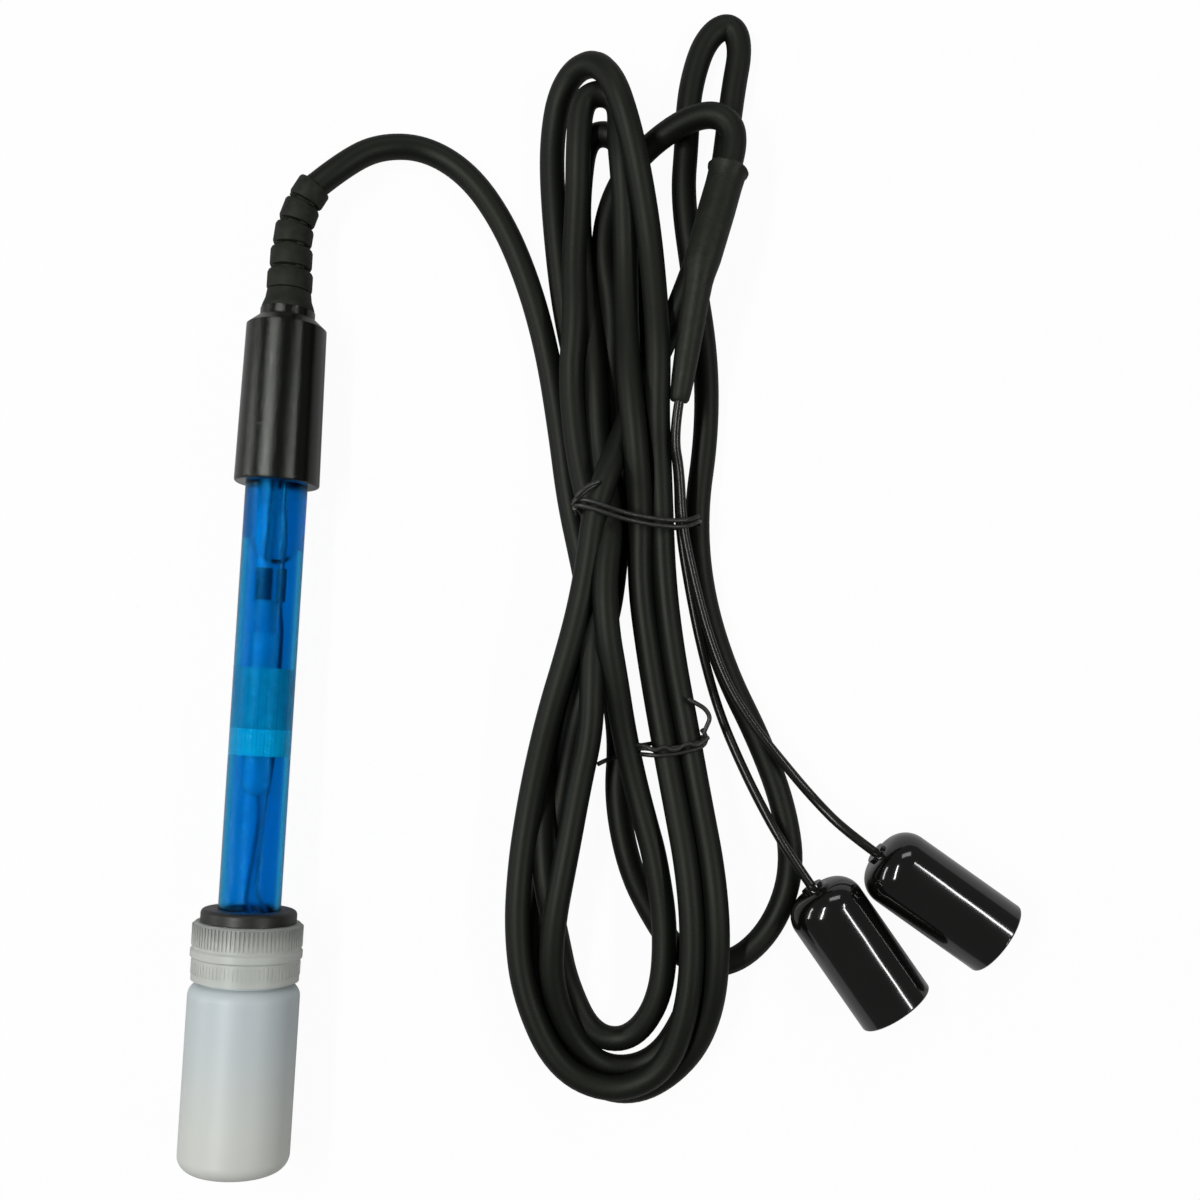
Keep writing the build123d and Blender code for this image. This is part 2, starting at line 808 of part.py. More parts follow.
# The electrode and its bottle, upright
upright = {
    "body_tube": make_body_tube(),
    "head_cap": make_head_cap(),
    "strain_relief": make_strain_relief(),
    "cable_inner": make_cable_inner(),
    "core_lead": make_core_lead(),
    "shield_lead": make_shield_lead(),
    "sensor_lead": make_sensor_lead(),
    "measuring_splice": make_measuring_splice(),
    "sensor_splice": make_sensor_splice(),
    "measuring_wire": make_measuring_wire(),
    "sensor_wire": make_sensor_wire(),
    "reference_cartridge": make_reference_cartridge(),
    "reference_wire": make_reference_wire(),
    "measuring_glass": make_measuring_glass(),
    "junction": make_junction(),
    "temperature_sensor": make_sensor_bead(),
    "shaft_grommet": make_grommet(),
    "seal_washer": make_seal_washer(),
    "bottle_cap": make_bottle_cap(),
    "storage_bottle": make_storage_bottle(),
}
wires = [upright["measuring_wire"], upright["sensor_wire"]]
leads = [upright["core_lead"], upright["shield_lead"], upright["sensor_lead"], upright["cable_inner"]]
upright["cartridge_collar"] = make_cartridge_collar(wires)
upright["seal_plug"] = make_plug(plug_stack_mid, plug_stack_high, wires)
upright["foam_plug"] = make_plug(plug_stack_low, plug_stack_mid, wires)
upright["potting_plug"] = make_potting(leads)
upright["stem_cap"] = make_stem_cap(upright["measuring_wire"])
upright["end_plug"] = make_end_plug(upright["temperature_sensor"])

# Laid on its side, it rests on the bottle's shoulder and on the head's upper edge, so its axis leans
rest_low = bottle_shoulder_height - bottle_shoulder_round
rest_high = head_top - head_bevel_height
lean = atan((bottle_diameter - head_high_diameter) / 2 / (rest_high - rest_low))
tipped = Rot(-(RIGHT_ANGLE + degrees(lean)), 0, 0)
reach = Compound(children=[tipped * part for part in upright.values()]).bounding_box()
laid = Pos(0, head_way_shift - (reach.min.Y + reach.max.Y) / 2, -reach.min.Z) * tipped
nodes = {name: laid * part for name, part in upright.items()}

# The cable starts at the mouth of the strain relief, in line with it
mouth = laid * along_relief(Vertex(0, 0, 0), relief_length)
beyond = laid * along_relief(Pos(0, 0, lead_straight) * Vertex(0, 0, 0), relief_length)
cable_start = [tuple(mouth.center()), tuple(beyond.center())]
splice_heading = (Vector(*splice_waist) - Vector(*splice_top)).normalized()
tail_end = [tuple(Vector(*splice_top) - splice_heading * lead_straight), splice_top]

nodes["upper_tie"] = make_tie("upper")
nodes["lower_tie"] = make_tie("lower")
nodes["cable_hank"] = make_hank([nodes["upper_tie"], nodes["lower_tie"]])
nodes["cable_lead"] = cord("cable_lead", cable_start + cable_lead_route, cable_diameter)
nodes["cable_loop"] = cord("cable_loop", cable_loop_route, cable_diameter)
nodes["cable_tail"] = cord("cable_tail", cable_tail_route + tail_end, cable_diameter)
nodes["splice_taper"] = make_splice_taper()
nodes["splice_sleeve"] = make_splice_sleeve(nodes["splice_taper"])
for side, rank in (("a", -1), ("b", 1)):
    nodes[f"lead_{side}"] = cord(f"lead_{side}", lead_points(side, rank), lead_diameter)
    nodes[f"boot_{side}"] = make_boot(side)
    nodes[f"connector_shell_{side}"] = make_connector_shell(side)
    nodes[f"connector_insulator_{side}"] = make_connector_insulator(side)
    nodes[f"connector_pin_{side}"] = make_connector_pin(side)

centred = Pos(0, -head_way_shift, 0)
for name, part in nodes.items():
    placed = centred * part
    placed.label = name
    export_step(placed, f"parts/{name}.step")

# What a record of the joints needs: where the axis lies and how it leans
axis_foot = (centred * laid * Vertex(0, 0, 0)).center()
bottle_foot = (centred * laid * Vertex(0, 0, bottle_base_height)).center()
cable_mouth = [tuple((centred * Vertex(*point)).center()) for point in cable_start]
print(f"lean {degrees(lean):.4f} degrees, shaft's open end at {tuple(axis_foot)}")
print(f"bottle's base centre at {tuple(bottle_foot)}, axis towards the head (0, {cos(lean):.6f}, {-sin(lean):.6f})")
print(f"cable leaves at {cable_mouth[0]} towards {cable_mouth[1]}")
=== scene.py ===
from math import atan2, cos, pi, radians, sin

import bmesh
import bpy
from mathutils import Matrix, Vector


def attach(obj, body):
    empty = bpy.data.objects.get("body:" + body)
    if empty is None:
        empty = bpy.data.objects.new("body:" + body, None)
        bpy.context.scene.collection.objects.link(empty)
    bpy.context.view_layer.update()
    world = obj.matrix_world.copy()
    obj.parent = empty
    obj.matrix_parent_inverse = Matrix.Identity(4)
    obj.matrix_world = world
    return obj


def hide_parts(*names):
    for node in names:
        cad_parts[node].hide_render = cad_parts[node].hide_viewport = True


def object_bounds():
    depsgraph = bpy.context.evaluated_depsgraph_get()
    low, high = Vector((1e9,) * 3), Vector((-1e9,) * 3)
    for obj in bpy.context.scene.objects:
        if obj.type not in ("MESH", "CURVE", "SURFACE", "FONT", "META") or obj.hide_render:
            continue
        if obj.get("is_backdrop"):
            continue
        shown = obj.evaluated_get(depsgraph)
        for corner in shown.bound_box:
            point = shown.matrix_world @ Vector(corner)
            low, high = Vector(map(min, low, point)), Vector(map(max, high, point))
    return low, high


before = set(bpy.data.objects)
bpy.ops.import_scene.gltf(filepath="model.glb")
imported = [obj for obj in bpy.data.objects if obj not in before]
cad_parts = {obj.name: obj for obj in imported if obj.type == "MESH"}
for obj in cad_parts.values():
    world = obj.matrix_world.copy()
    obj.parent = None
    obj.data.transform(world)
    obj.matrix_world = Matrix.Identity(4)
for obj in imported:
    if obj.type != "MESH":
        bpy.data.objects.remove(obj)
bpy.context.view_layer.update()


# The photographer's table: a white paper sheet under four long lamps, seen from straight above
# through a short lens. The camera sees the paper as white with a faint shadow, and reflections and
# the clear shaft show only a share of that white.
table_half_width = 1.5
table_drop = 0.00005
white = (1, 1, 1, 1)
paper_grey = (0.42, 0.42, 0.42, 1)
paper_white_strength = 1.04
mirrored_share = 0.12
through_glass_share = 0.25
shadow_share = 0.08
sky_strength = 0.12
camera_place = (0.06607, -0.0026, 0.278)
camera_turn = radians(3.36)
camera_nearest = 0.01
camera_farthest = 20
lens_millimetres = 41.0
sensor_millimetres = 36
picture_pixels = 1200
shift_pixels = 100

sheet_mesh = bmesh.new()
bmesh.ops.create_grid(sheet_mesh, x_segments=1, y_segments=1, size=table_half_width,
                      matrix=Matrix.Translation((0, 0, -table_drop)))
sheet = bpy.data.objects.new("table", bpy.data.meshes.new("table"))
sheet_mesh.to_mesh(sheet.data)
sheet_mesh.free()
bpy.context.scene.collection.objects.link(sheet)
sheet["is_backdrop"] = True


class Reading:
    """A value that a node gives, so that sums on it are written as plain Python."""

    def __init__(self, nodes, socket):
        self.nodes = nodes
        self.socket = socket

    def sum(self, operation, first, second):
        return self.nodes.node("ShaderNodeMath", {"operation": operation}, {0: first, 1: second})

    def __add__(self, other):
        return self.sum("ADD", self, other)

    def __radd__(self, other):
        return self.sum("ADD", other, self)

    def __sub__(self, other):
        return self.sum("SUBTRACT", self, other)

    def __rsub__(self, other):
        return self.sum("SUBTRACT", other, self)

    def __mul__(self, other):
        return self.sum("MULTIPLY", self, other)

    def __rmul__(self, other):
        return self.sum("MULTIPLY", other, self)

    def larger(self, other):
        return self.sum("MAXIMUM", self, other)

    def rise(self, low, high):
        """0 below low and 1 above high, with a soft step between."""
        return self.nodes.node("ShaderNodeMapRange", {"interpolation_type": "SMOOTHSTEP"},
                               {"Value": self, "From Min": low, "From Max": high})


class Nodes:
    """The nodes of a material or of the world, each made by its kind, settings and inputs."""

    def __init__(self, tree):
        self.tree = tree

    def node(self, kind, settings, inputs, output=0):
        made = self.tree.nodes.new(kind)
        for name, value in settings.items():
            setattr(made, name, value)
        for name, value in inputs.items():
            self.feed(made.inputs[name], value)
        return Reading(self, made.outputs[output])

    def feed(self, socket, value):
        if isinstance(value, Reading):
            self.tree.links.new(value.socket, socket)
        else:
            socket.default_value = value


class Finish(Nodes):
    """One material. Its constants go straight on the surface shader's sockets."""

    def __init__(self, name, **constants):
        self.material = bpy.data.materials.new(name)
        self.material.use_nodes = True
        super().__init__(self.material.node_tree)
        self.shader = self.tree.nodes["Principled BSDF"]
        self.set(**constants)

    def set(self, **inputs):
        """Feeds the surface shader: set(Base_Color=..., Coat_Weight=...)."""
        for name, value in inputs.items():
            self.feed(self.shader.inputs[name.replace("_", " ")], value)

    def place(self):
        return self.node("ShaderNodeTexCoord", {}, {}, "Object")

    def noise(self, scale, stretch=(1, 1, 1), detail=3.0):
        """Soft blotches, scale of them to a metre. A stretch under 1 packs them closer along its axis."""
        spot = self.node("ShaderNodeMapping", {"vector_type": "TEXTURE"},
                         {"Vector": self.place(), "Scale": stretch})
        return self.node("ShaderNodeTexNoise", {}, {"Vector": spot, "Scale": scale, "Detail": detail})

    def mix(self, share, first, second):
        """A colour between two others. Inputs 6 and 7 and output 2 are the node's colour ones."""
        return self.node("ShaderNodeMix", {"data_type": "RGBA"}, {0: share, 6: first, 7: second}, 2)

    def bump(self, height, depth, strength=1.0):
        """Raises the surface by depth, in metres, where height is 1."""
        self.set(Normal=self.node("ShaderNodeBump", {}, {"Height": height, "Distance": depth,
                                                         "Strength": strength}))

    def give(self, *pieces):
        """Puts this finish on pieces, or on CAD nodes by name."""
        for piece in pieces:
            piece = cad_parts.get(piece, piece)
            piece.data.materials.clear()
            piece.data.materials.append(self.material)


paper = Finish("table_paper", Roughness=0.9, Base_Color=paper_grey)
seen_directly, mirrored, through_glass = [paper.node("ShaderNodeLightPath", {}, {}, ray) for ray in
                                          ("Is Camera Ray", "Is Glossy Ray", "Is Transmission Ray")]
white_share = seen_directly.larger(mirrored * mirrored_share).larger(through_glass * through_glass_share)
lit_paper = Reading(paper, paper.shader.outputs[0])
plain_white = paper.node("ShaderNodeEmission", {}, {"Color": white, "Strength": paper_white_strength})
paper.feed(paper.tree.nodes["Material Output"].inputs["Surface"],
           paper.node("ShaderNodeMixShader", {}, {0: white_share * (1 - shadow_share), 1: lit_paper,
                                                  2: plain_white}))
paper.give(sheet)

camera = bpy.data.objects.new("camera", bpy.data.cameras.new("camera"))
camera.location = camera_place
camera.rotation_euler = (0, 0, camera_turn)
camera.data.lens = lens_millimetres
camera.data.sensor_width = sensor_millimetres
camera.data.shift_y = shift_pixels / picture_pixels
camera.data.clip_start = camera_nearest
camera.data.clip_end = camera_farthest
bpy.context.scene.collection.objects.link(camera)
bpy.context.scene.camera = camera

# Each lamp: where it hangs, its width across the shaft, its length along it, and its power in watts.
# All face one spot on the table.
lit_spot = Vector((0.05, 0.02, 0.0))
lamps = {
    "near_window": ((-0.25, 0.02, 0.62), (0.04, 0.55), 3.0),
    "left_window": ((-0.60, 0.02, 0.20), (0.06, 0.45), 0.9),
    "right_lamp": ((0.52, 0.02, 0.52), (0.04, 0.50), 1.4),
    "far_fill": ((0.10, 0.75, 0.50), (0.50, 0.20), 0.9),
}
for name, (spot, size, watts) in lamps.items():
    lamp = bpy.data.objects.new(name, bpy.data.lights.new(name, "AREA"))
    lamp.data.shape = "RECTANGLE"
    lamp.data.size, lamp.data.size_y = size
    lamp.data.energy = watts
    lamp.location = spot
    backwards = (Vector(spot) - lit_spot).normalized()
    sideways = Vector((0, 1, 0)).cross(backwards).normalized()
    lamp.rotation_euler = Matrix((sideways, backwards.cross(sideways), backwards)).transposed().to_euler()
    bpy.context.scene.collection.objects.link(lamp)

# The sky is plain white to the camera, and lights the object only dimly.
world = bpy.data.worlds.new("studio")
bpy.context.scene.world = world
world.use_nodes = True
sky = Nodes(world.node_tree)
dim_sky = sky.tree.nodes["Background"]
sky.feed(dim_sky.inputs["Color"], white)
sky.feed(dim_sky.inputs["Strength"], sky_strength)
white_sky = sky.node("ShaderNodeBackground", {}, {"Color": white})
to_camera = sky.node("ShaderNodeLightPath", {}, {}, "Is Camera Ray")
sky.feed(sky.tree.nodes["World Output"].inputs["Surface"],
         sky.node("ShaderNodeMixShader", {}, {0: to_camera, 1: Reading(sky, dim_sky.outputs[0]),
                                              2: white_sky}))
bpy.context.scene.view_settings.view_transform = "Standard"


# Measuring glass: a thin blown bulb on a stem, closed by a cap that its wire passes. An epoxy plug
# holds it in the shaft's end beside a porous ceramic junction and a steel-sleeved sensor bead.
glass_tint = (0.93, 0.97, 1.0, 1)
epoxy_blues = (0.05, 0.10, 0.16, 1), (0.09, 0.16, 0.24, 1)
ceramic_creams = (0.62, 0.60, 0.55, 1), (0.86, 0.85, 0.81, 1)
steel_greys = (0.42, 0.42, 0.43, 1), (0.62, 0.62, 0.63, 1)

blown_glass = Finish("blown_glass", Base_Color=glass_tint, Transmission_Weight=1.0, IOR=1.45,
                     Coat_Weight=0.2)
blown_glass.set(Roughness=blown_glass.noise(220) * 0.06)
blown_glass.give("measuring_glass", "stem_cap")
epoxy = Finish("tip_epoxy", IOR=1.5)
epoxy.set(Base_Color=epoxy.mix(epoxy.noise(500), *epoxy_blues), Roughness=epoxy.noise(300) * 0.2 + 0.25)
epoxy.give("end_plug")
ceramic = Finish("junction_ceramic", Specular_IOR_Level=0.3, Roughness=0.9)
pores = ceramic.noise(4200, detail=6)
ceramic.set(Base_Color=ceramic.mix(pores.rise(0.35, 0.6), *ceramic_creams))
ceramic.bump(pores, 0.00008)
ceramic.give("junction")
bead_steel = Finish("sensor_steel", Metallic=1.0)
turned = bead_steel.noise(900, stretch=(1, 0.08, 1))
bead_steel.set(Base_Color=bead_steel.mix(turned, *steel_greys), Roughness=turned * 0.2 + 0.2)
bead_steel.give("temperature_sensor")


# Reference cartridge: a small clear tube with a round end, with a silver wire down its middle and a
# grey collar where it is glued to the splices above.
cartridge_tints = (0.72, 0.84, 0.86, 1), (0.88, 0.95, 0.96, 1)
silver_greys = (0.16, 0.20, 0.24, 1), (0.30, 0.36, 0.40, 1)
collar_greys = (0.28, 0.38, 0.42, 1), (0.38, 0.48, 0.52, 1)

cartridge_clear = Finish("cartridge_clear", Transmission_Weight=0.4, IOR=1.35)
haze = cartridge_clear.noise(260, stretch=(1, 0.3, 1))
cartridge_clear.set(Base_Color=cartridge_clear.mix(haze, *cartridge_tints), Roughness=haze * 0.2 + 0.05)
cartridge_clear.give("reference_cartridge")
silver = Finish("tarnished_silver", Metallic=0.6)
tarnish = silver.noise(800, stretch=(1, 0.3, 1), detail=5)
silver.set(Base_Color=silver.mix(tarnish, *silver_greys), Roughness=tarnish * 0.3 + 0.35)
silver.give("reference_wire")
collar_grey = Finish("collar_grey", IOR=1.45)
cloud = collar_grey.noise(380, detail=4)
collar_grey.set(Base_Color=collar_grey.mix(cloud.rise(0.3, 0.7), *collar_greys),
                Roughness=cloud * 0.2 + 0.4)
collar_grey.bump(cloud, 0.0001)
collar_grey.give("cartridge_collar")


# Plugs across the bore: a dark rubber seal pressed in over a pale disc of foam. The cartridge and
# the two wires pass through both.
seal_blues = (0.18, 0.42, 0.50, 1), (0.24, 0.50, 0.58, 1)
foam_whites = (0.88, 0.93, 0.94, 1), (0.76, 0.84, 0.88, 1)

seal_rubber = Finish("seal_rubber", IOR=1.5)
mottle = seal_rubber.noise(420, detail=4)
seal_rubber.set(Base_Color=seal_rubber.mix(mottle.rise(0.3, 0.7), *seal_blues),
                Roughness=mottle * 0.2 + 0.45)
seal_rubber.bump(mottle, 0.00012)
seal_rubber.give("seal_plug")
foam = Finish("pale_foam", IOR=1.4, Roughness=0.85)
cells = foam.node("ShaderNodeTexVoronoi", {"feature": "F1"}, {"Vector": foam.place(), "Scale": 1700.0})
foam.set(Base_Color=foam.mix(cells.rise(0.1, 0.6), *foam_whites))
foam.bump(1 - cells, 0.0002)
foam.give("foam_plug")


# Wires and leads inside the shaft: a stout white core and two fine leads come down from the cable
# to two dark shrink-sleeved splices, and two insulated wires run on behind the cartridge.
core_whites = (0.80, 0.95, 0.97, 1), (0.92, 1.0, 1.0, 1)
tin_greys = (0.50, 0.58, 0.60, 1), (0.78, 0.84, 0.85, 1)
wire_blues = (0.06, 0.12, 0.20, 1), (0.11, 0.20, 0.30, 1)
sleeve_blacks = (0.04, 0.06, 0.08, 1), (0.09, 0.12, 0.15, 1)

core = Finish("core_insulation", IOR=1.5)
ripple = core.noise(500, stretch=(1, 0.25, 1))
core.set(Base_Color=core.mix(ripple, *core_whites), Roughness=ripple * 0.1 + 0.3)
core.give("core_lead")
tinned = Finish("tinned_wire", Metallic=0.4, Roughness=0.4)
strand = tinned.node("ShaderNodeTexWave", {"wave_type": "BANDS", "bands_direction": "DIAGONAL"},
                     {"Vector": tinned.place(), "Scale": 1300.0, "Distortion": 1.0})
tinned.set(Base_Color=tinned.mix(strand, *tin_greys))
tinned.bump(strand, 0.00006)
tinned.give("shield_lead")
dark_wire = Finish("dark_wire", IOR=1.5)
scuff = dark_wire.noise(700, stretch=(1, 0.3, 1))
dark_wire.set(Base_Color=dark_wire.mix(scuff, *wire_blues), Roughness=scuff * 0.2 + 0.3)
dark_wire.give("sensor_lead", "measuring_wire", "sensor_wire")
sleeve = Finish("shrink_sleeve", IOR=1.5)
wrinkle = sleeve.noise(900, stretch=(1, 0.4, 1), detail=4)
sleeve.set(Base_Color=sleeve.mix(wrinkle, *sleeve_blacks), Roughness=wrinkle * 0.25 + 0.4)
sleeve.bump(wrinkle, 0.00015)
sleeve.give("measuring_splice", "sensor_splice")


# Potting: clear resin poured into the top of the shaft round the leads. It cured with a domed face
# that leans, and with a few small bubbles near the wall.
resin_tints = (0.86, 0.97, 1.0, 1), (0.95, 1.0, 1.0, 1)

resin = Finish("cast_resin", Transmission_Weight=1.0, IOR=1.3)
bubbles = resin.node("ShaderNodeTexVoronoi", {"feature": "F1"}, {"Vector": resin.place(), "Scale": 520.0})
resin.set(Base_Color=resin.mix(resin.noise(160), *resin_tints),
          Roughness=bubbles.rise(0.0, 0.2) * -0.1 + 0.12)
resin.bump(bubbles.rise(0.0, 0.16), 0.0002)
resin.give("potting_plug")


# Shaft: an extruded tube of clear blue plastic, turned and slotted at its open end. Its wall has a
# very fine grain, and handling has left its gloss a little uneven.
tube_blues = (0.0, 0.48, 0.93, 1), (0.0, 0.53, 0.98, 1)
tube_sheen = (0.1, 0.6, 1.0, 1)

clear_blue = Finish("clear_blue", Transmission_Weight=1.0, IOR=1.28, Specular_Tint=tube_sheen)
tube_grain = clear_blue.noise(900, stretch=(1, 0.01, 1), detail=2)
clear_blue.set(Base_Color=clear_blue.mix(tube_grain, *tube_blues),
               Roughness=clear_blue.noise(260) * 0.05 + 0.02)
clear_blue.bump(tube_grain, 0.00002, 0.5)
clear_blue.give("body_tube")


# Head: a turned and bored cap of black plastic over the top of the shaft, with a bevelled crown and
# a collar. Its satin skin has a fine turning grain.
head_blacks = (0.0024, 0.0026, 0.0021, 1), (0.0048, 0.0051, 0.0042, 1)
head_sheen = (0.98, 1.0, 0.93, 1)

head_plastic = Finish("head_plastic", IOR=1.46, Specular_Tint=head_sheen)
turning = head_plastic.noise(1500, stretch=(1, 0.02, 1), detail=3)
handling = head_plastic.noise(90, detail=5)
head_plastic.set(Base_Color=head_plastic.mix(handling, *head_blacks), Roughness=handling * 0.03 + 0.12)
head_plastic.bump(turning, 0.00002, 0.6)
head_plastic.give("head_cap")


# Strain relief: black rubber moulded round the cable, with a flared skirt on the head's collar. Five
# ribs with slots between them let it bend. It tapers, and has set to the right where the cable pulls.
relief_foot = Vector((0, 0.070385, 0.007882))
relief_heading = Vector((0, 0.999747, -0.022479))
relief_straight = 0.013
relief_bend_radius = 0.022
relief_bore = 0.00252
bore_rings = 6
# how far along the skirt, and its radius there
skirt_profile = [(0.0, 0.00500), (0.0005, 0.00512), (0.0012, 0.00490), (0.0022, 0.00452), (0.0038, 0.00428)]
rib_radii = [0.00442, 0.00410, 0.00378, 0.00354, 0.00342]
rib_start = 0.0039
rib_pitch = 0.0046
rib_length = 0.0040
rib_edge = 0.0006
# how far into a rib's rounded edge, and how much of it is cut back there, as shares of rib_edge
edge_shares = [(0.0, 1.0), (0.3, 0.3), (1.0, 0.0)]
slot_depth = 0.0013
bridge_drop = 0.0001
bridge_angle = radians(24)
step_run = 0.0001
crease_angle = radians(38)
relief_blacks = (0.0075, 0.0088, 0.0062, 1), (0.014, 0.016, 0.0115, 1)
rubber_sheen = (0.96, 1.0, 0.89, 1)


def relief_station(distance):
    """Where the relief's middle line is, and which way it heads, this far from its foot."""
    across = Vector((1, 0, 0))
    turn = max(0.0, distance - relief_straight) / relief_bend_radius
    spot = relief_foot + relief_heading * (min(distance, relief_straight) + relief_bend_radius * sin(turn))
    heading = relief_heading * cos(turn) + across * sin(turn)
    return spot + across * relief_bend_radius * (1 - cos(turn)), heading


def lofted(name, stations, segments=48):
    """A closed skin through rings. Each station is a ring's place, its heading and its radius. A slotted
    one adds the larger radius that its four bridges keep."""
    skin = bmesh.new()
    rings = []
    for spot, heading, radius, *kept in stations:
        side = heading.cross(Vector((0, 0, 1))).normalized()
        turn = Matrix((side, heading.cross(side), heading)).transposed().to_4x4()
        standing = Matrix.Translation(spot) @ turn
        if rings:
            grown = bmesh.ops.extrude_edge_only(skin, edges=rings[-1][1])["geom"]
            verts = [item for item in grown if isinstance(item, bmesh.types.BMVert)]
            edges = [item for item in grown if isinstance(item, bmesh.types.BMEdge)]
            bmesh.ops.transform(skin, matrix=rings[-1][0].inverted(), verts=verts)
        else:
            verts = bmesh.ops.create_circle(skin, segments=segments, radius=1.0)["verts"]
            edges = skin.edges[:]
        for vert in verts:
            off = (atan2(vert.co.y, vert.co.x) - pi / 4) % (pi / 2)
            bridged = kept and min(off, pi / 2 - off) < bridge_angle / 2
            vert.co = vert.co.normalized() * (kept[0] if bridged else radius)
        bmesh.ops.transform(skin, matrix=standing, verts=verts)
        rings.append((standing, edges))
    bmesh.ops.bridge_loops(skin, edges=rings[0][1] + rings[-1][1])
    bmesh.ops.recalc_face_normals(skin, faces=skin.faces)
    for edge in skin.edges:
        edge.smooth = edge.calc_face_angle(0.0) < crease_angle
    piece = bpy.data.objects.new(name, bpy.data.meshes.new(name))
    skin.to_mesh(piece.data)
    skin.free()
    piece.data.polygons.foreach_set("use_smooth", [True] * len(piece.data.polygons))
    bpy.context.scene.collection.objects.link(piece)
    return piece


relief_stations = [relief_station(distance) + (radius,) for distance, radius in skirt_profile]
for index, radius in enumerate(rib_radii):
    low = rib_start + index * rib_pitch
    high = low + rib_length
    near_edge = [(low + rib_edge * into, rib_edge * cut) for into, cut in edge_shares]
    far_edge = [(high - rib_edge * into, rib_edge * cut) for into, cut in reversed(edge_shares)]
    for distance, cut in near_edge + far_edge:
        relief_stations.append(relief_station(distance) + (radius - cut,))
    if index < len(rib_radii) - 1:
        bridge_radius = rib_radii[index + 1] - bridge_drop
        for distance in (high + step_run, low + rib_pitch - step_run):
            relief_stations.append(relief_station(distance) + (radius - slot_depth, bridge_radius))
relief_end = rib_start + (len(rib_radii) - 1) * rib_pitch + rib_length
relief_stations.append(relief_station(relief_end + step_run) + (relief_bore,))
for ring in range(bore_rings, -1, -1):
    relief_stations.append(relief_station(relief_end * ring / bore_rings) + (relief_bore,))
relief = lofted("ribbed_relief", relief_stations)
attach(relief, "electrode")
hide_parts("strain_relief")
relief_rubber = Finish("relief_rubber", IOR=1.34, Specular_Tint=rubber_sheen)
dust = relief_rubber.noise(700, detail=6)
relief_rubber.set(Base_Color=relief_rubber.mix(dust.rise(0.35, 0.75), *relief_blacks),
                  Roughness=dust * 0.15 + 0.55)
relief_rubber.bump(dust, 0.00005)
relief_rubber.give(relief)


